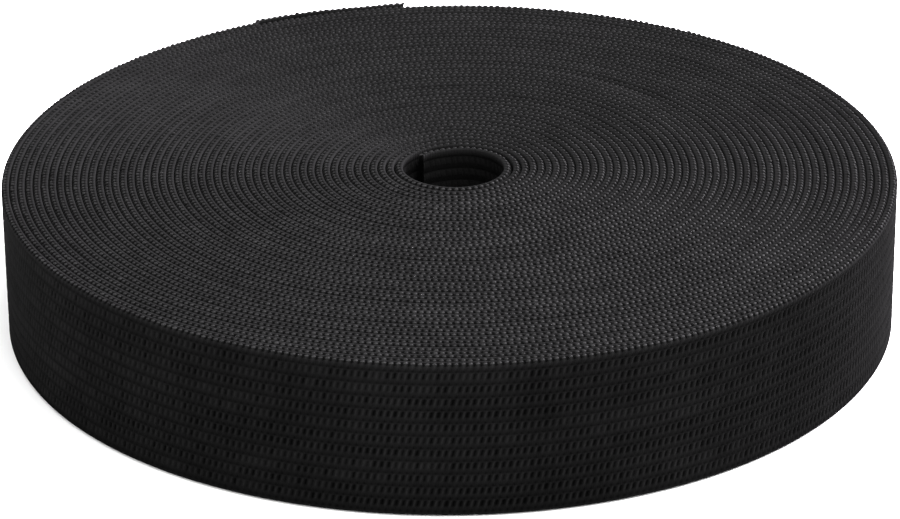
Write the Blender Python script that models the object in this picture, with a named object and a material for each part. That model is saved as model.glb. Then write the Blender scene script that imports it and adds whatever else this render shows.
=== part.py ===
"""A flat-wound roll of black knitted elastic tape, lying on its side.

Metres, +Z up. The origin is the middle of the roll on the surface that it lies on.
The tape is wound clockwise, seen from above, from the hole outwards. A place along it is
given in turns, counted from where the first turn crosses +X.
"""

import math

import bmesh
import bpy

MM = 0.001

# The tape
TAPE_WIDTH = 25.0 * MM
TAPE_THICKNESS = 1.2 * MM

# The winding
TURN_PITCH = 1.235 * MM
FIRST_RADIUS = 8.92 * MM
SLACK = 0.6 * MM
SLACK_TURNS = 1.5
HOLE_SHIFT = 0.75 * MM
FULL_TURNS = 50

# Where the tape starts and stops, as angles from +X, anticlockwise in degrees
INNER_TIP_ANGLE = 137.5
INNER_JOIN_ANGLE = 20.0
OUTER_JOIN_ANGLE = 118.5
OUTER_TIP_ANGLE = 96.5

# The slit between a loose end and the roll where the two meet
SLIT = 0.3 * MM

# How far each loose end stands off its place in the winding
# (share of the way from the roll to the tip, millimetres)
INNER_STAND_OFF = (
    (0.00, 0.00),
    (0.35, 0.05),
    (0.72, 0.39),
    (1.00, 0.10),
)
OUTER_STAND_OFF = (
    (0.00, 0.35),
    (0.05, 1.00),
    (0.25, 0.85),
    (0.75, 0.32),
    (1.00, 0.55),
)

OUTER_STEPS = 144
INNER_STEPS = 72
OUTER_END_STEPS = 40
INNER_END_STEPS = 28

TAPE_COLOUR = (0.012, 0.012, 0.013, 1.0)
TAPE_ROUGHNESS = 0.85
SHARP_ANGLE = math.radians(30)


def turns_at(angle, whole):
    """The place along the tape that lies at an angle, just before a whole number of turns."""
    return whole - angle / 360.0


def middle_radius(turns):
    """The radius of the tape's middle. The first turns are a little slack."""
    return FIRST_RADIUS + TURN_PITCH * turns - SLACK * math.exp(-turns / SLACK_TURNS)


def place(turns, offset):
    """The point offset outwards from the tape's middle. The hole lies a little to +X."""
    angle = -2.0 * math.pi * turns
    shift = HOLE_SHIFT * (1.0 - turns / FULL_TURNS)
    radius = middle_radius(turns) + offset
    return (shift + radius * math.cos(angle), radius * math.sin(angle))


def stretch(start, end, steps):
    """Evenly spaced places along the tape, both ends included."""
    return [start + (end - start) * i / steps for i in range(steps + 1)]


def eased(table, share):
    """A value read from a table of (share, millimetres) rows, eased between the rows."""
    for (low, before), (high, after) in zip(table, table[1:]):
        if share <= high:
            t = (share - low) / (high - low)
            t = t * t * (3.0 - 2.0 * t)
            return (before + (after - before) * t) * MM
    return table[-1][1] * MM


def tape_material():
    """Black matt knit."""
    material = bpy.data.materials.new("elastic_tape")
    material.use_nodes = True
    shader = material.node_tree.nodes["Principled BSDF"]
    shader.inputs["Base Color"].default_value = TAPE_COLOUR
    shader.inputs["Roughness"].default_value = TAPE_ROUGHNESS
    shader.inputs["Metallic"].default_value = 0.0
    return material


def standing(name, outlines):
    """A solid as high as the tape is wide, whose plan is one outline, or one with a hole."""
    bm = bmesh.new()
    for outline in outlines:
        corners = [bm.verts.new((x, y, 0.0)) for x, y in outline]
        for a, b in zip(corners, corners[1:] + corners[:1]):
            bm.edges.new((a, b))
    filled = bmesh.ops.triangle_fill(bm, edges=bm.edges[:], use_beauty=True)
    faces = [g for g in filled["geom"] if isinstance(g, bmesh.types.BMFace)]
    raised = bmesh.ops.extrude_face_region(bm, geom=faces, use_keep_orig=True)
    top = [g for g in raised["geom"] if isinstance(g, bmesh.types.BMVert)]
    bmesh.ops.translate(bm, verts=top, vec=(0.0, 0.0, TAPE_WIDTH))
    bmesh.ops.recalc_face_normals(bm, faces=bm.faces[:])
    mesh = bpy.data.meshes.new(name)
    bm.to_mesh(mesh)
    bm.free()
    mesh.shade_smooth()
    mesh.set_sharp_from_angle(angle=SHARP_ANGLE)
    mesh.materials.append(tape_material())
    item = bpy.data.objects.new(name, mesh)
    bpy.context.collection.objects.link(item)
    return item


def wound_roll(inner_join, outer_join):
    """The wound form: its outer face is the last turn's, its inner face the first turn's."""
    half = TAPE_THICKNESS / 2.0
    outside = [place(t, half) for t in stretch(outer_join - 1.0, outer_join, OUTER_STEPS)]
    inside = [place(t, -half) for t in stretch(inner_join, inner_join + 1.0, INNER_STEPS)]
    return standing("wound_roll", [outside, inside])


def loose_end(name, join, tip, table, direction, steps):
    """A loose end: a strip of tape that stands off the winding by the table's amounts."""
    half = TAPE_THICKNESS / 2.0
    slit_turns = SLIT / (2.0 * math.pi * middle_radius(join))
    start = join + math.copysign(slit_turns, tip - join)
    near, far = [], []
    for i, turns in enumerate(stretch(start, tip, steps)):
        stand_off = direction * eased(table, i / steps)
        near.append(place(turns, stand_off - half))
        far.append(place(turns, stand_off + half))
    return standing(name, [near + far[::-1]])


def main():
    for item in list(bpy.data.objects):
        bpy.data.objects.remove(item, do_unlink=True)
    inner_tip = turns_at(INNER_TIP_ANGLE, 0)
    inner_join = turns_at(INNER_JOIN_ANGLE, 0)
    outer_join = turns_at(OUTER_JOIN_ANGLE, FULL_TURNS + 1)
    outer_tip = turns_at(OUTER_TIP_ANGLE, FULL_TURNS + 1)
    wound_roll(inner_join, outer_join)
    loose_end("inner_end", inner_join, inner_tip, INNER_STAND_OFF, -1, INNER_END_STEPS)
    loose_end("outer_end", outer_join, outer_tip, OUTER_STAND_OFF, 1, OUTER_END_STEPS)


main()
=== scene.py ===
"""A flat-wound roll of black knitted elastic tape, its stitches, finish and plain studio.

Everything is in metres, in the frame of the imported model. A place along the tape is given
as a course, one row of knitting, counted from the tip inside the hole.
"""

import math

import bmesh
import bpy
import numpy as np
from bpy.props import FloatProperty, FloatVectorProperty, IntProperty, PointerProperty
from mathutils import Euler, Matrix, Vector


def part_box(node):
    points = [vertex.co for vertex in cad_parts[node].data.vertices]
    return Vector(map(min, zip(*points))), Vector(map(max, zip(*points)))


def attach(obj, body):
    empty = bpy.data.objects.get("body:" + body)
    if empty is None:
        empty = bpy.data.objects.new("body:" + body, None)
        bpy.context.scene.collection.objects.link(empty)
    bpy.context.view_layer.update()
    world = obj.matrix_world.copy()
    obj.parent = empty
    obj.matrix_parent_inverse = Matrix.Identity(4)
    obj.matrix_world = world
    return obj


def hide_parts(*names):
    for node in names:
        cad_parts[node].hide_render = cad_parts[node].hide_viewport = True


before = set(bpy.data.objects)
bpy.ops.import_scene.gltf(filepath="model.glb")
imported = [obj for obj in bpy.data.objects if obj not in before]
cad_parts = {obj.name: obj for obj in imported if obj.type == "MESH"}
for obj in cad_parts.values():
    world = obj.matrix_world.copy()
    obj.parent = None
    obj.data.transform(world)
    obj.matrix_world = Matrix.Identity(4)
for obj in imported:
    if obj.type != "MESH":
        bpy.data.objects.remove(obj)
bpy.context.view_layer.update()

bl_info = {
    "name": "Elastic Tape Roll",
    "version": (1, 0, 0),
    "blender": (4, 5, 0),
    "location": "View3D > Sidebar > Elastic Tape",
    "description": "Winds a roll of knitted elastic tape, stitch by stitch",
    "category": "Object",
}

MM = 0.001
ROLL_LOW, ROLL_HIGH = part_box("wound_roll")

# Where the tape starts and stops, as angles from +X, anticlockwise in degrees
INNER_TIP_ANGLE = 137.5
INNER_JOIN_ANGLE = 20.0
OUTER_JOIN_ANGLE = 118.5
OUTER_TIP_ANGLE = 96.5
FULL_TURNS = 50

# How far each loose end stands off its place in the winding
# (share of the way from the roll to the tip, millimetres outwards)
INNER_STAND_OFF = (
    (0.00, 0.00),
    (0.35, -0.05),
    (0.72, -0.39),
    (1.00, -0.10),
)
OUTER_STAND_OFF = (
    (0.00, 0.00),
    (0.05, 1.00),
    (0.25, 0.85),
    (0.75, 0.32),
    (1.00, 0.55),
)

# Rows of points across one rib of the knit, millimetres below the face
# (ribs from the rib's middle, depth all along, depth of an opening, depth of a stitch hole,
# lean of the bars in courses, painted shade, darkest in the groove between ribs)
RIB_ROWS = (
    (-0.360, 0.12, 0.00, 0.09, 0.00, 0.28),
    (-0.280, 0.06, 0.08, 0.00, -0.12, 0.16),
    (-0.160, 0.00, 0.34, 0.00, -0.07, 0.02),
    (0.160, 0.00, 0.34, 0.00, 0.07, 0.02),
    (0.280, 0.06, 0.08, 0.00, 0.12, 0.18),
)

# The depth that is painted fully dark, as painted shade in openings and holes, and the painted
# shade added to the faces that look towards the hole
DEEPEST = 0.32 * MM
INNER_FACE_SHADE = 0.14

# Points over the tape's upper edge, in millimetres
# (out from the tape's middle, below the edge, how far it dips between loops,
# painted shade at a loop, painted shade between loops, share of edge yarn)
EDGE_ROWS = (
    (-0.60, 0.32, 0.00, 0.00, 0.05, 1.0),
    (-0.50, 0.09, 0.01, 0.15, 0.35, 1.0),
    (-0.12, 0.09, 0.05, 0.30, 0.92, 1.0),
    (0.38, 0.20, 0.25, 0.20, 1.00, 1.0),
    (0.60, 0.50, 0.00, 0.05, 0.60, 0.6),
)

# Points over the lower edge, in millimetres
# (out from the tape's middle, above the edge, painted shade)
FOOT_ROWS = (
    (0.60, 0.55, 0.60),
    (0.40, 0.22, 0.60),
    (-0.40, 0.22, 0.60),
    (-0.60, 0.55, 0.60),
)
PLAIN_FOOT_ROWS = (
    (0.58, 0.24, 0.60),
    (-0.58, 0.24, 0.60),
)

# Where columns of points lie in one course: 0 is the middle of a bar of stitches. They keep
# the margin from both ends of a stretch of tape.
SHOWN_COLUMNS = (0.0, 0.25, 0.5, 0.75)
HIDDEN_COLUMNS = (0.0, 0.5)
END_MARGIN = 0.03

# How open the knit is (courses from the nearest bar of stitches, share)
OPENING_SHAPE = ((0.0, 0.0), (0.25, 0.62), (0.5, 1.0))

# How far the stitches gape, as a share of the depths in RIB_ROWS: the usual share, a part that
# a hash draws for each stitch, and slow waves along each rib (radians a course, radians a rib)
# with one round the roll, widest at its own place in a turn
USUAL_GAPE = 0.52
STITCH_GAPE = 0.36
STITCH_HASH = (12.9898, 78.233, 43758.5453)
SLOW_GAPE = 0.06
SLOW_WAVES = ((0.031, 1.7), (0.083, -0.9))
ROUND_WAVE = 5.0
WIDEST_TURN = 0.14
GAPE_RANGE = (0.15, 1.2)
INNER_FACE_GAPE = 0.5

# How far the turns' upper edges stray from their level
# (millimetres, radians a turn, radians at the start, waves round the roll)
EDGE_RIPPLES = (
    (0.03, 2.1, 1.3, 0.0),
    (0.02, 5.3, 0.0, 0.0),
    (0.05, 0.6, 0.0, 2.0),
)

# The low swell behind the hole and right of it: millimetres high, degrees round the roll,
# and the radii of its outer foot and of its crest, with the widths that it rises and fades over
SWELL_HEIGHT = 0.55
SWELL_ANGLE = 58.0
SWELL_SPREAD = 26.0
SWELL_FOOT = 43.0 * MM
SWELL_RISE = 1.2 * MM
SWELL_CREST = 40.0 * MM
SWELL_FADE = 14.0 * MM

# How far above the lower edge the knit of a face stops
FACE_FOOT = 0.7 * MM

# Points closer than this are merged, and edges sharper than this look sharp
MERGE_DISTANCE = 0.001 * MM
SHARP_ANGLE = math.radians(75.0)

# The edge loops: how far out from the tape's middle they lie, how many half heights below its
# edge, and how far slant, rise and size stray
LOOP_OUT = 0.08 * MM
LOOP_SINK = 1.1
SLANT_STRAY = 0.35
RISE_STRAY = 0.6
SIZE_STRAY = 0.07

# Painted shade of a loop at its middle, its fall from foot to top, and the painted shade of its
# inner half
LOOP_SHADE = 0.25
LOOP_SHADE_FALL = 1.2
LOOP_INNER_SHADE = 0.5

# Painted shade on a loop's inner side: the share of the darker edge yarn at its middle, and its
# fall outwards across the loop
LOOP_PAINTED_SHADE_YARN = 0.95
LOOP_PAINTED_SHADE_YARN_FALL = 2.2

# Turns of tape whose outer face shows, and points along the winding that its length is
# summed from
SHOWN_TURNS = 1.01
ARC_STEPS = 60000

# Noise in the yarns, in the dye along the tape, and in the floor (scale, detail)
FIBRES = (5200.0, 2.0)
PATCHES = (160.0, 3.0)
SPECKS = (1500.0, 2.0)
DYE = (0.045, 2.0)
FLOOR_GRAIN = (30.0, 2.0)

# The yarns' finish: what three noises come to on average, the height of the twist beside the
# fibres, the least roughness and what fibres add, and how deep the bump is
NOISE_MEAN = 1.5
TWIST_HEIGHT = 0.35
YARN_ROUGHNESS = 0.6
FIBRE_ROUGHNESS = 0.3
BUMP_DISTANCE = 0.08 * MM


class TapeSettings(bpy.types.PropertyGroup):
    """Sizes of the tape and of its winding."""

    width: FloatProperty(
        name="Width",
        description="Width of the tape, which is the roll's height",
        default=ROLL_HIGH.z - ROLL_LOW.z,
        unit="LENGTH",
    )
    thickness: FloatProperty(
        name="Thickness",
        description="Thickness of the tape",
        default=1.2 * MM,
        unit="LENGTH",
    )
    pitch: FloatProperty(
        name="Turn pitch",
        description="Distance from one turn to the next",
        default=1.235 * MM,
        unit="LENGTH",
    )
    first_radius: FloatProperty(
        name="First radius",
        description="Radius of the first turn, were it wound tight",
        default=8.92 * MM,
        unit="LENGTH",
    )
    slack: FloatProperty(
        name="Slack",
        description="How far the first turn lies inside its tight place",
        default=0.6 * MM,
        unit="LENGTH",
    )
    slack_turns: FloatProperty(
        name="Slack turns",
        description="Turns over which the slack dies away",
        default=1.5,
    )
    hole_shift: FloatProperty(
        name="Hole shift",
        description="How far the hole lies to +X of the roll's middle",
        default=0.75 * MM,
        unit="LENGTH",
    )


class KnitSettings(bpy.types.PropertyGroup):
    """Sizes of the stitches."""

    course: FloatProperty(
        name="Course",
        description="Length of one row of stitches along the tape",
        default=1.05 * MM,
        unit="LENGTH",
    )
    ribs: IntProperty(
        name="Ribs",
        description="Ribs across the tape",
        default=12,
    )
    loop_length: FloatProperty(
        name="Loop length",
        description="Length of an edge loop, along the tape",
        default=0.82 * MM,
        unit="LENGTH",
    )
    loop_width: FloatProperty(
        name="Loop width",
        description="Width of an edge loop, across the tape's thickness",
        default=0.56 * MM,
        unit="LENGTH",
    )
    loop_height: FloatProperty(
        name="Loop height",
        description="Height of an edge loop",
        default=0.44 * MM,
        unit="LENGTH",
    )
    loop_slant: FloatProperty(
        name="Loop slant",
        description="Angle between an edge loop and the tape's run",
        default=math.radians(9.0),
        subtype="ANGLE",
        unit="ROTATION",
    )
    unevenness: FloatProperty(
        name="Unevenness",
        description="How far the loops stray from their places",
        default=0.04 * MM,
        unit="LENGTH",
    )
    seed: IntProperty(
        name="Seed",
        description="Seed of the unevenness",
        default=7,
    )


class FinishSettings(bpy.types.PropertyGroup):
    """Colours of the yarns, of the painted shade and of the floor."""

    loop_colour: FloatVectorProperty(
        name="Loop yarn",
        description="Colour of the yarn in the edge loops",
        subtype="COLOR",
        default=(0.0260, 0.0257, 0.0262),
    )
    edge_colour: FloatVectorProperty(
        name="Edge yarn",
        description="Colour of the yarn along the tape's edges, under the loops",
        subtype="COLOR",
        default=(0.0112, 0.0111, 0.0113),
    )
    face_colour: FloatVectorProperty(
        name="Face yarn",
        description="Colour of the yarn on the tape's faces",
        subtype="COLOR",
        default=(0.0082, 0.0081, 0.0082),
    )
    # Painted shade: the near-black that the yarns are mixed towards where shade is painted
    painted_shade_colour: FloatVectorProperty(
        name="Deep yarn",
        description="Colour of the yarn deep in the stitches",
        subtype="COLOR",
        default=(0.0008, 0.0008, 0.0008),
    )
    floor_colour: FloatVectorProperty(
        name="Floor",
        description="Colour of the floor",
        subtype="COLOR",
        default=(0.92, 0.92, 0.92),
    )


class Winding:
    """Where each course of the tape lies in the roll."""

    def __init__(self, tape, knit):
        self.tape = tape
        self.knit = knit
        self.inner_tip = -INNER_TIP_ANGLE / 360.0
        self.inner_join = -INNER_JOIN_ANGLE / 360.0
        self.outer_join = FULL_TURNS + 1 - OUTER_JOIN_ANGLE / 360.0
        self.outer_tip = FULL_TURNS + 1 - OUTER_TIP_ANGLE / 360.0
        self.last_turn = self.outer_join - SHOWN_TURNS
        self.turns = np.linspace(self.inner_tip, self.outer_tip, ARC_STEPS)
        radius = self.middle_radius(self.turns)
        step = self.turns[1] - self.turns[0]
        arc = np.concatenate([[0.0], np.cumsum((radius[1:] + radius[:-1]) * math.pi * step)])
        self.arc_courses = arc / knit.course
        self.courses = float(self.arc_courses[-1])

    def middle_radius(self, turns):
        """The radius of the tape's middle. The first turns are a little slack."""
        tape = self.tape
        slack = tape.slack * np.exp(-turns / tape.slack_turns)
        return tape.first_radius + tape.pitch * turns - slack

    def course_at(self, turns):
        """The course that lies at a number of turns."""
        return float(np.interp(turns, self.turns, self.arc_courses))

    def stand_off(self, turns):
        """How far the loose ends stand off the winding."""
        outer = (turns - self.outer_join) / (self.outer_tip - self.outer_join)
        inner = (turns - self.inner_join) / (self.inner_tip - self.inner_join)
        return eased(OUTER_STAND_OFF, outer) + eased(INNER_STAND_OFF, inner)

    def place(self, course):
        """The middle of the tape at a course, as arrays: x, y, and the way outwards."""
        turns = np.interp(course, self.arc_courses, self.turns)
        angle = -2.0 * math.pi * turns
        shift = self.tape.hole_shift * (1.0 - turns / FULL_TURNS)
        radius = self.middle_radius(turns) + self.stand_off(turns)
        out = np.stack([np.cos(angle), np.sin(angle)], axis=-1)
        middle = radius[..., None] * out
        middle[..., 0] += shift
        return middle, out, turns


def eased(table, share):
    """A value read from a table of (share, millimetres) rows, eased between the rows."""
    share = np.clip(share, table[0][0], table[-1][0])
    value = np.full(np.shape(share), table[0][1], float)
    for (low, before), (high, after) in zip(table, table[1:]):
        t = np.clip((share - low) / (high - low), 0.0, 1.0)
        value += (after - before) * t * t * (3.0 - 2.0 * t)
    return value * MM


def opening(course):
    """How open the knit is at a course: 0 on a bar of stitches, 1 midway to the next."""
    from_bar = 0.5 - np.abs(course - np.floor(course) - 0.5)
    return np.interp(from_bar, *zip(*OPENING_SHAPE))


def tension(course, rib, turns):
    """How far the stitches gape here: 1 is as deep as RIB_ROWS says."""
    by_course, by_rib, spread = STITCH_HASH
    each = np.sin(by_course * np.floor(course) + by_rib * rib) * spread
    each = each - np.floor(each)
    slow = sum(np.sin(along * course + across * rib) for along, across in SLOW_WAVES)
    slow += ROUND_WAVE * np.cos(2.0 * math.pi * (turns - WIDEST_TURN))
    return np.clip(USUAL_GAPE + STITCH_GAPE * each + SLOW_GAPE * slow, *GAPE_RANGE)


def columns_between(start, end, phases):
    """The courses of the columns of points in a stretch of tape."""
    whole = np.arange(math.floor(start), math.ceil(end))
    inside = np.sort((whole[:, None] + np.array(phases)[None, :]).ravel())
    inside = inside[(inside > start + END_MARGIN) & (inside < end - END_MARGIN)]
    return np.concatenate([[start], inside, [end]])


def edge_lift(middle, turns):
    """How far the upper edge stands above its level, because no turn lies quite level."""
    radius = np.hypot(middle[..., 0], middle[..., 1])
    angle = np.degrees(np.arctan2(middle[..., 1], middle[..., 0]))
    ripple = sum(
        high * np.sin(rate * turns + start + np.radians(waves * angle))
        for high, rate, start, waves in EDGE_RIPPLES
    )
    swell = SWELL_HEIGHT * np.exp(-(((angle - SWELL_ANGLE) / SWELL_SPREAD) ** 2))
    swell *= np.clip((SWELL_FOOT - radius) / SWELL_RISE, 0.0, 1.0)
    swell *= np.exp(-((np.clip(SWELL_CREST - radius, 0.0, None) / SWELL_FADE) ** 2))
    return (ripple + swell) * MM


def section(tape, knit, outer_face, inner_face):
    """The points round the tape's section, one row each.

    Columns: out from the middle, height, dip, plain depth, opening, hole, lean, side, rib,
    painted shade at a loop, painted shade between loops, share of edge yarn.
    """
    half = tape.thickness / 2.0
    rib = tape.width / knit.ribs
    rows = []
    for out, below, dip, *shades in EDGE_ROWS:
        level = tape.width - below * MM
        rows.append((out * MM, level, -dip * MM, 0, 0, 0, 0, 0, 0, *shades))
    for side, shown in ((1, outer_face), (-1, inner_face)):
        face = []
        for k in range(1, knit.ribs + 1):
            for across, plain, gap, hole, lean, shade in RIB_ROWS:
                height = tape.width - (k + across) * rib
                if height > FACE_FOOT:
                    depths = (plain * MM, gap * MM, hole * MM, lean)
                    face.append((half * side, height, 0, *depths, side, k, shade, shade, 0))
        if side < 0:
            face.reverse()
            feet = FOOT_ROWS if outer_face or inner_face else PLAIN_FOOT_ROWS
            for out, above, dark in feet:
                rows.append((out * MM, above * MM, 0, 0, 0, 0, 0, 0, 0, dark, dark, 1))
        rows += face if shown else []
    rows.append(rows[0])
    return np.array(rows, float).T


def tape_mesh(winding, start, end, phases, outer_face=False, inner_face=False):
    """A stretch of tape from one course to another, closed at both ends."""
    rows = section(winding.tape, winding.knit, outer_face, inner_face)
    out, height, dip, plain, gap, hole, lean, side, rib, shade, gap_shade, edge = rows
    columns = columns_between(start, end, phases)
    across = len(out) - 1
    along = len(columns) - 1
    bm = bmesh.new()
    bmesh.ops.create_grid(bm, x_segments=along, y_segments=across, size=1.0)
    mesh = bpy.data.meshes.new("tape")
    bm.to_mesh(mesh)
    bm.free()
    flat = np.empty(len(mesh.vertices) * 3, np.float32)
    mesh.vertices.foreach_get("co", flat)
    flat = flat.reshape(-1, 3)
    i = np.rint((flat[:, 0] + 1.0) / 2.0 * along).astype(int)
    j = np.rint((flat[:, 1] + 1.0) / 2.0 * across).astype(int)
    course = columns[i]
    leant = np.clip(course + lean[j], start, end)
    middle, outward, turns = winding.place(np.where((i > 0) & (i < along), leant, course))
    open_here = opening(course)
    inner = side[j] < 0
    gape = tension(course, rib[j], turns) * np.where(inner, INNER_FACE_GAPE, 1.0)
    depth = plain[j] + gape * (gap[j] * open_here + hole[j] * (1.0 - open_here))
    reach = out[j] - side[j] * depth
    level = height[j] + dip[j] * open_here
    level += edge_lift(middle, turns) * height[j] / winding.tape.width
    points = np.column_stack([middle + outward * reach[:, None], level])
    mesh.vertices.foreach_set("co", points.astype(np.float32).ravel())
    place = mesh.attributes.new("tape_place", "FLOAT_VECTOR", "POINT")
    # Painted shade: darker between loops, in grooves, openings and holes by their depth, and on
    # faces towards the hole
    dark = shade[j] * (1.0 - open_here) + gap_shade[j] * open_here + depth / DEEPEST
    dark += np.where(inner, INNER_FACE_SHADE, 0.0)
    values = np.column_stack([course, edge[j], np.clip(dark, 0.0, 1.0)])
    place.data.foreach_set("vector", values.astype(np.float32).ravel())
    bm = bmesh.new()
    bm.from_mesh(mesh)
    bmesh.ops.remove_doubles(bm, verts=bm.verts[:], dist=MERGE_DISTANCE)
    rim = [e for e in bm.edges if e.is_boundary]
    bmesh.ops.holes_fill(bm, edges=rim, sides=0)
    bmesh.ops.recalc_face_normals(bm, faces=bm.faces[:])
    bm.to_mesh(mesh)
    bm.free()
    mesh.shade_smooth()
    mesh.set_sharp_from_angle(angle=SHARP_ANGLE)
    return mesh


def loop_shape(knit, fine):
    """One edge loop: a short fat stitch that lies along the tape."""
    bm = bmesh.new()
    if fine:
        bmesh.ops.create_icosphere(bm, subdivisions=1, radius=1.0)
    else:
        turn = Euler((0.0, math.radians(90.0), 0.0)).to_matrix().to_4x4()
        bmesh.ops.create_uvsphere(bm, u_segments=4, v_segments=2, radius=1.0, matrix=turn)
    sizes = Vector((knit.loop_length, knit.loop_width, knit.loop_height)) / 2.0
    bmesh.ops.scale(bm, vec=sizes, verts=bm.verts[:])
    bmesh.ops.recalc_face_normals(bm, faces=bm.faces[:])
    bmesh.ops.triangulate(bm, faces=bm.faces[:])
    bm.verts.ensure_lookup_table()
    points = np.array([v.co for v in bm.verts], float)
    faces = np.array([[v.index for v in f.verts] for f in bm.faces], int)
    bm.free()
    return points, faces


def loops_mesh(winding, start, end, upper, seed):
    """A row of edge loops from one course to another, along the tape's upper or lower edge."""
    knit, tape = winding.knit, winding.tape
    points, faces = loop_shape(knit, upper)
    course = np.arange(math.ceil(start), math.ceil(end), dtype=float)
    rng = np.random.default_rng(seed)
    stray = rng.normal(0.0, 1.0, (3, len(course)))
    middle, outward, turns = winding.place(course)
    forward = np.column_stack([outward[:, 1], -outward[:, 0]])
    slant = knit.loop_slant * (1.0 + SLANT_STRAY * stray[0])
    run = forward * np.cos(slant)[:, None] + outward * np.sin(slant)[:, None]
    cross = outward * np.cos(slant)[:, None] - forward * np.sin(slant)[:, None]
    middle = middle + outward * (LOOP_OUT + knit.unevenness * stray[1])[:, None]
    size = 1.0 + SIZE_STRAY * stray[2]
    flat = (
        middle[:, None, :]
        + run[:, None, :] * (points[None, :, 0] * size[:, None])[..., None]
        + cross[:, None, :] * (points[None, :, 1] * size[:, None])[..., None]
    )
    half = knit.loop_height / 2.0
    if upper:
        base = tape.width - half * LOOP_SINK + edge_lift(middle, turns)
        base = base + knit.unevenness * RISE_STRAY * stray[0]
    else:
        base = np.full(len(course), half)
        size = np.minimum(size, 1.0)
    level = base[:, None] + points[None, :, 2] * size[:, None]
    verts = np.concatenate([flat, level[..., None]], axis=2).reshape(-1, 3)
    step = np.arange(len(course))[:, None, None] * len(points)
    mesh = bpy.data.meshes.new("loops")
    mesh.from_pydata(verts.tolist(), [], (faces[None] + step).reshape(-1, 3).tolist())
    place = mesh.attributes.new("tape_place", "FLOAT_VECTOR", "POINT")
    along = course[:, None] + points[None, :, 0] / knit.course
    # Painted shade on the loops: darker towards the foot and on the inner half, and the inner
    # side painted with the darker edge yarn
    rise = points[:, 2] / knit.loop_height
    shade = np.clip(LOOP_SHADE - LOOP_SHADE_FALL * rise, 0.0, 1.0)
    shade = np.where(points[:, 1] < 0.0, LOOP_INNER_SHADE, shade)
    outer = points[:, 1] / knit.loop_width
    edge = np.clip(LOOP_PAINTED_SHADE_YARN - LOOP_PAINTED_SHADE_YARN_FALL * outer, 0.0, 1.0)
    ones = np.ones_like(along)
    values = np.stack([along, ones * edge, ones * shade], axis=2)
    place.data.foreach_set("vector", values.astype(np.float32).ravel())
    mesh.shade_smooth()
    return mesh


def add_piece(name, mesh, material, stands_for=()):
    """Puts a finished mesh in the scene, on the roll's body."""
    mesh.name = name
    mesh.materials.append(material)
    piece = bpy.data.objects.new(name, mesh)
    bpy.context.scene.collection.objects.link(piece)
    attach(piece, "root")
    if stands_for:
        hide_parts(*stands_for)
    return piece


def node(tree, kind, at, **settings):
    """A shader node with its settings, placed in its tree."""
    made = tree.nodes.new(kind)
    made.location = at
    for key, value in settings.items():
        setattr(made, key, value)
    return made


def maths(tree, operation, at, a, b):
    """A maths node on two values or sockets, and its result."""
    made = node(tree, "ShaderNodeMath", at, operation=operation)
    for socket, value in zip(made.inputs, (a, b)):
        if isinstance(value, (int, float)):
            socket.default_value = value
        else:
            tree.links.new(value, socket)
    return made.outputs[0]


def noise(tree, at, source, scale, detail, dimensions="3D"):
    """Noise over a piece's own coordinates, or along its tape."""
    made = node(tree, "ShaderNodeTexNoise", at, noise_dimensions=dimensions)
    made.inputs["Scale"].default_value = scale
    made.inputs["Detail"].default_value = detail
    tree.links.new(source, made.inputs["W" if dimensions == "1D" else "Vector"])
    return made.outputs["Fac"]


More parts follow.
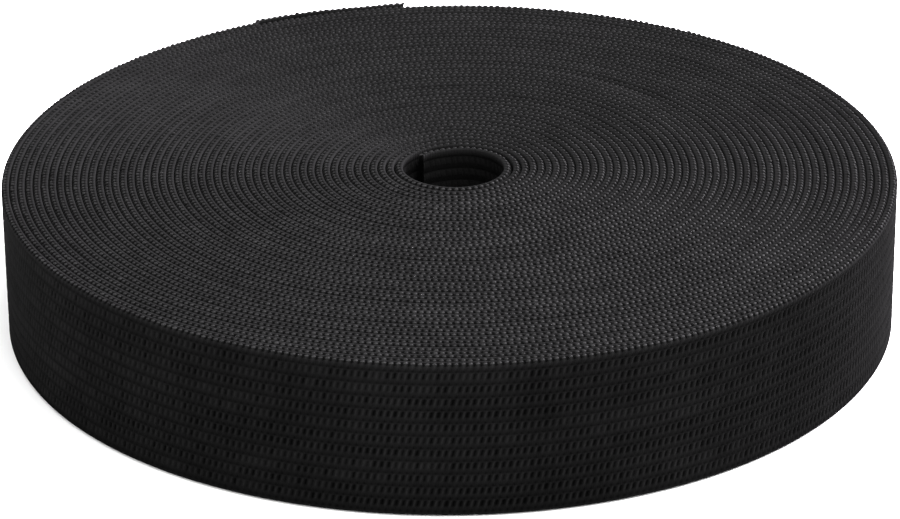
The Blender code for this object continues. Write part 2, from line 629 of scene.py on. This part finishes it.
def yarn_group():
    """Knitted yarn: uneven tone, painted shade in its depths and hollows, and the ridges of its
    twisted filaments.
    """
    found = bpy.data.node_groups.get("knitted_yarn")
    if found:
        return found
    group = bpy.data.node_groups.new("knitted_yarn", "ShaderNodeTree")
    sockets = group.interface
    for name, kind in (
        ("Yarn", "NodeSocketColor"),
        ("Edge Yarn", "NodeSocketColor"),
        ("Deep", "NodeSocketColor"),
        ("Place", "NodeSocketVector"),
        ("Coordinates", "NodeSocketVector"),
        ("Twists", "NodeSocketFloat"),
        ("Mottle", "NodeSocketFloat"),
    ):
        sockets.new_socket(name, in_out="INPUT", socket_type=kind)
    for name, kind in (
        ("Colour", "NodeSocketColor"),
        ("Roughness", "NodeSocketFloat"),
        ("Height", "NodeSocketFloat"),
    ):
        sockets.new_socket(name, in_out="OUTPUT", socket_type=kind)
    given = node(group, "NodeGroupInput", (-1200, 0))
    result = node(group, "NodeGroupOutput", (900, 0))
    parts = node(group, "ShaderNodeSeparateXYZ", (-1000, 0))
    group.links.new(given.outputs["Place"], parts.inputs[0])
    coordinates = given.outputs["Coordinates"]
    fibres = noise(group, (-1000, 400), coordinates, *FIBRES)
    patches = noise(group, (-1000, 700), coordinates, *PATCHES)
    specks = noise(group, (-1000, 1000), coordinates, *SPECKS)
    dye = noise(group, (-1000, -400), parts.outputs["X"], *DYE, "1D")
    mixed = maths(group, "ADD", (-700, 600), specks, patches)
    mixed = maths(group, "ADD", (-500, 600), mixed, dye)
    mixed = maths(group, "SUBTRACT", (-300, 600), mixed, NOISE_MEAN)
    mixed = maths(group, "MULTIPLY", (-100, 600), mixed, given.outputs["Mottle"])
    tone = maths(group, "ADD", (50, 600), mixed, 1.0)
    yarn = node(group, "ShaderNodeMix", (0, 200), data_type="RGBA")
    group.links.new(parts.outputs["Y"], yarn.inputs["Factor"])
    group.links.new(given.outputs["Yarn"], yarn.inputs["A"])
    group.links.new(given.outputs["Edge Yarn"], yarn.inputs["B"])
    # Painted shade: the place's third value mixes the yarn towards the near-black shade colour
    colour = node(group, "ShaderNodeMix", (200, 200), data_type="RGBA")
    group.links.new(parts.outputs["Z"], colour.inputs["Factor"])
    group.links.new(yarn.outputs["Result"], colour.inputs["A"])
    group.links.new(given.outputs["Deep"], colour.inputs["B"])
    toned = node(group, "ShaderNodeVectorMath", (450, 200), operation="SCALE")
    group.links.new(colour.outputs["Result"], toned.inputs[0])
    group.links.new(tone, toned.inputs["Scale"])
    group.links.new(toned.outputs["Vector"], result.inputs["Colour"])
    rough = maths(group, "MULTIPLY", (200, -200), fibres, FIBRE_ROUGHNESS)
    rough = maths(group, "ADD", (400, -200), rough, YARN_ROUGHNESS)
    group.links.new(rough, result.inputs["Roughness"])
    twist = maths(group, "MULTIPLY", (-600, -200), parts.outputs["X"], given.outputs["Twists"])
    twist = maths(group, "SINE", (-400, -200), twist, 0.0)
    twist = maths(group, "MULTIPLY", (-200, -200), twist, TWIST_HEIGHT)
    height = maths(group, "ADD", (0, -200), twist, fibres)
    group.links.new(height, result.inputs["Height"])
    return group


def yarn_material(name, yarn, edge, deep, twists, mottle, gloss, bump):
    """A black knit of one kind of yarn, with its twist in radians a course."""
    material = bpy.data.materials.new(name)
    material.use_nodes = True
    tree = material.node_tree
    shader = tree.nodes["Principled BSDF"]
    coordinates = node(tree, "ShaderNodeTexCoord", (-900, 0))
    place = node(tree, "ShaderNodeAttribute", (-900, 300), attribute_name="tape_place")
    knit = node(tree, "ShaderNodeGroup", (-600, 0), node_tree=yarn_group())
    knit.inputs["Yarn"].default_value = (*yarn, 1.0)
    knit.inputs["Edge Yarn"].default_value = (*edge, 1.0)
    # The near-black of the painted shade
    knit.inputs["Deep"].default_value = (*deep, 1.0)
    knit.inputs["Twists"].default_value = twists
    knit.inputs["Mottle"].default_value = mottle
    tree.links.new(place.outputs["Vector"], knit.inputs["Place"])
    tree.links.new(coordinates.outputs["Object"], knit.inputs["Coordinates"])
    raised = node(tree, "ShaderNodeBump", (-300, -300))
    raised.inputs["Strength"].default_value = bump
    raised.inputs["Distance"].default_value = BUMP_DISTANCE
    tree.links.new(knit.outputs["Height"], raised.inputs["Height"])
    tree.links.new(knit.outputs["Colour"], shader.inputs["Base Color"])
    tree.links.new(knit.outputs["Roughness"], shader.inputs["Roughness"])
    tree.links.new(raised.outputs["Normal"], shader.inputs["Normal"])
    shader.inputs["Specular IOR Level"].default_value = gloss
    return material


def face_material(finish):
    """The flat of the tape: matt yarn over rubber."""
    return bpy.data.materials.get("tape_face") or yarn_material(
        "tape_face",
        finish.face_colour,
        finish.edge_colour,
        finish.painted_shade_colour,
        twists=12.6,
        mottle=0.45,
        gloss=0.003,
        bump=0.6,
    )


def loop_material(finish):
    """The edge loops: a smoother, brighter yarn."""
    return bpy.data.materials.get("edge_loop") or yarn_material(
        "edge_loop",
        finish.loop_colour,
        finish.edge_colour,
        finish.painted_shade_colour,
        twists=31.4,
        mottle=0.9,
        gloss=0.03,
        bump=0.5,
    )


def settings_of(context):
    """The winding and the finish that the operators share."""
    scene = context.scene
    return Winding(scene.elastic_tape, scene.elastic_knit), scene.elastic_finish


class ELASTIC_OT_wound_tape(bpy.types.Operator):
    """Wind the turns that only show their edges"""

    bl_idname = "elastic.wound_tape"
    bl_label = "Wound tape"

    def execute(self, context):
        winding, finish = settings_of(context)
        first = winding.course_at(winding.inner_join + 1.0)
        last = winding.course_at(winding.last_turn)
        halfway = (first + last) / 2.0
        for name, start, end in (
            ("inner_winding", first, halfway),
            ("outer_winding", halfway, last),
        ):
            mesh = tape_mesh(winding, start, end, HIDDEN_COLUMNS)
            add_piece(name, mesh, face_material(finish))
        return {"FINISHED"}


class ELASTIC_OT_shown_turns(bpy.types.Operator):
    """Wind the last turn and the first, whose knitted faces show"""

    bl_idname = "elastic.shown_turns"
    bl_label = "Last and first turn"

    def execute(self, context):
        winding, finish = settings_of(context)
        start = winding.course_at(winding.last_turn)
        end = winding.course_at(winding.outer_join)
        halfway = (start + end) / 2.0
        mesh = tape_mesh(winding, start, halfway, SHOWN_COLUMNS, outer_face=True)
        add_piece("last_turn_start", mesh, face_material(finish), ["wound_roll"])
        mesh = tape_mesh(winding, halfway, end, SHOWN_COLUMNS, outer_face=True)
        add_piece("last_turn_finish", mesh, face_material(finish))
        start = winding.course_at(winding.inner_join)
        end = winding.course_at(winding.inner_join + 1.0)
        mesh = tape_mesh(winding, start, end, SHOWN_COLUMNS, inner_face=True)
        add_piece("first_turn", mesh, face_material(finish))
        return {"FINISHED"}


class ELASTIC_OT_loose_ends(bpy.types.Operator):
    """Knit the two loose ends, which show both faces"""

    bl_idname = "elastic.loose_ends"
    bl_label = "Loose ends"

    def execute(self, context):
        winding, finish = settings_of(context)
        for name, cad_node, turns in (
            ("inner_tail", "inner_end", (winding.inner_tip, winding.inner_join)),
            ("outer_tail", "outer_end", (winding.outer_join, winding.outer_tip)),
        ):
            start, end = (winding.course_at(t) for t in turns)
            mesh = tape_mesh(winding, start, end, SHOWN_COLUMNS, True, True)
            tail = add_piece(name, mesh, face_material(finish), [cad_node])
        return {"FINISHED"}


class ELASTIC_OT_edge_loops(bpy.types.Operator):
    """Knit the loops along the tape's upper and lower edges"""

    bl_idname = "elastic.edge_loops"
    bl_label = "Edge loops"

    def execute(self, context):
        winding, finish = settings_of(context)
        halfway = winding.courses * 0.5
        for n, (name, start, end, upper) in enumerate(
            (
                ("upper_loops_inner", 0.0, halfway, True),
                ("upper_loops_outer", halfway, winding.courses, True),
                ("lower_loops", 0.0, winding.courses, False),
            )
        ):
            mesh = loops_mesh(winding, start, end, upper, winding.knit.seed + n)
            add_piece(name, mesh, loop_material(finish))
        return {"FINISHED"}


# The studio: where the camera stands, from the middle of the roll's upper face
CAMERA_DISTANCE = 662.6 * MM
CAMERA_ELEVATION = 23.71
CAMERA_LOOK_DOWN = 25.007
CAMERA_YAW = 0.0275
CAMERA_ROLL = -0.48
LENS = 165.15
SENSOR = 36.0
CLIP_START = 0.01

# The floor, and how bright its white surround is
FLOOR_SIDE = 8.0
FLOOR_ROUGHNESS = 0.75
FLOOR_GRAIN_ROUGHNESS = 0.1
FLOOR_GLOSS = 0.2
WORLD_LIGHT = 1.7

# Soft lights (name, from, side in metres, watts, colour)
LIGHTS = (
    ("overhead", (0.34, -0.08, 0.93), 0.7, 16.5, (1.0, 1.0, 1.0)),
    ("right", (0.95, 0.75, 0.44), 0.6, 88.0, (0.98, 0.93, 1.0)),
)


def add_floor(finish):
    """A plain pale floor."""
    bm = bmesh.new()
    bmesh.ops.create_grid(bm, x_segments=1, y_segments=1, size=FLOOR_SIDE / 2.0)
    mesh = bpy.data.meshes.new("floor")
    bm.to_mesh(mesh)
    bm.free()
    material = bpy.data.materials.new("floor")
    material.use_nodes = True
    tree = material.node_tree
    shader = tree.nodes["Principled BSDF"]
    coordinates = node(tree, "ShaderNodeTexCoord", (-700, 0))
    grain = noise(tree, (-500, 0), coordinates.outputs["Object"], *FLOOR_GRAIN)
    rough = maths(tree, "MULTIPLY", (-300, 0), grain, FLOOR_GRAIN_ROUGHNESS)
    rough = maths(tree, "ADD", (-150, 0), rough, FLOOR_ROUGHNESS)
    tree.links.new(rough, shader.inputs["Roughness"])
    shader.inputs["Base Color"].default_value = (*finish.floor_colour, 1.0)
    shader.inputs["Specular IOR Level"].default_value = FLOOR_GLOSS
    mesh.materials.append(material)
    floor = bpy.data.objects.new("floor", mesh)
    bpy.context.scene.collection.objects.link(floor)


def add_lights():
    """Large soft lights, aimed at the roll, and an even pale surround."""
    for name, where, side, watts, colour in LIGHTS:
        data = bpy.data.lights.new(name, "AREA")
        data.size = side
        data.energy = watts
        data.color = colour
        light = bpy.data.objects.new(name, data)
        light.location = where
        light.rotation_euler = (-Vector(where)).to_track_quat("-Z", "Y").to_euler()
        bpy.context.scene.collection.objects.link(light)
    world = bpy.data.worlds.new("surround")
    world.use_nodes = True
    surround = world.node_tree.nodes["Background"]
    surround.inputs["Color"].default_value = (1.0, 1.0, 1.0, 1.0)
    surround.inputs["Strength"].default_value = WORLD_LIGHT
    bpy.context.scene.world = world


def add_camera():
    """A long lens, looking down on the roll from the front."""
    data = bpy.data.cameras.new("camera")
    data.lens = LENS
    data.sensor_width = SENSOR
    data.clip_start = CLIP_START
    camera = bpy.data.objects.new("camera", data)
    rise = math.radians(CAMERA_ELEVATION)
    away = CAMERA_DISTANCE
    camera.location = (0.0, -away * math.cos(rise), ROLL_HIGH.z + away * math.sin(rise))
    yaw = Euler((0.0, 0.0, math.radians(CAMERA_YAW))).to_matrix()
    tilt = Euler((math.radians(90.0 - CAMERA_LOOK_DOWN), 0.0, 0.0)).to_matrix()
    roll = Euler((0.0, 0.0, math.radians(CAMERA_ROLL))).to_matrix()
    camera.rotation_euler = (yaw @ tilt @ roll).to_euler()
    bpy.context.scene.collection.objects.link(camera)
    bpy.context.scene.camera = camera


class ELASTIC_OT_stage(bpy.types.Operator):
    """Set up the floor, the lights and the camera"""

    bl_idname = "elastic.stage"
    bl_label = "Stage"

    def execute(self, context):
        add_floor(context.scene.elastic_finish)
        add_lights()
        add_camera()
        context.scene.view_settings.view_transform = "Standard"
        return {"FINISHED"}


class ELASTIC_PT_panel(bpy.types.Panel):
    """Sizes, colours and steps of the roll"""

    bl_label = "Elastic Tape Roll"
    bl_space_type = "VIEW_3D"
    bl_region_type = "UI"
    bl_category = "Elastic Tape"

    def draw(self, context):
        layout = self.layout
        for group in (
            context.scene.elastic_tape,
            context.scene.elastic_knit,
            context.scene.elastic_finish,
        ):
            box = layout.box()
            for key in group.__annotations__:
                box.prop(group, key)
        for operator in OPERATORS:
            layout.operator(operator.bl_idname)


OPERATORS = (
    ELASTIC_OT_wound_tape,
    ELASTIC_OT_shown_turns,
    ELASTIC_OT_loose_ends,
    ELASTIC_OT_edge_loops,
    ELASTIC_OT_stage,
)
GROUPS = (TapeSettings, KnitSettings, FinishSettings)


def register():
    """Adds the add-on's classes and the scene's settings."""
    for item in (*GROUPS, *OPERATORS, ELASTIC_PT_panel):
        bpy.utils.register_class(item)
    bpy.types.Scene.elastic_tape = PointerProperty(type=TapeSettings)
    bpy.types.Scene.elastic_knit = PointerProperty(type=KnitSettings)
    bpy.types.Scene.elastic_finish = PointerProperty(type=FinishSettings)


def unregister():
    """Takes the add-on's classes and the scene's settings away again."""
    del bpy.types.Scene.elastic_finish
    del bpy.types.Scene.elastic_knit
    del bpy.types.Scene.elastic_tape
    for item in reversed((*GROUPS, *OPERATORS, ELASTIC_PT_panel)):
        bpy.utils.unregister_class(item)


def main():
    """Builds the roll and its studio."""
    register()
    bpy.ops.elastic.wound_tape()
    bpy.ops.elastic.shown_turns()
    bpy.ops.elastic.loose_ends()
    bpy.ops.elastic.edge_loops()
    bpy.ops.elastic.stage()


if __name__ == "__main__":
    main()
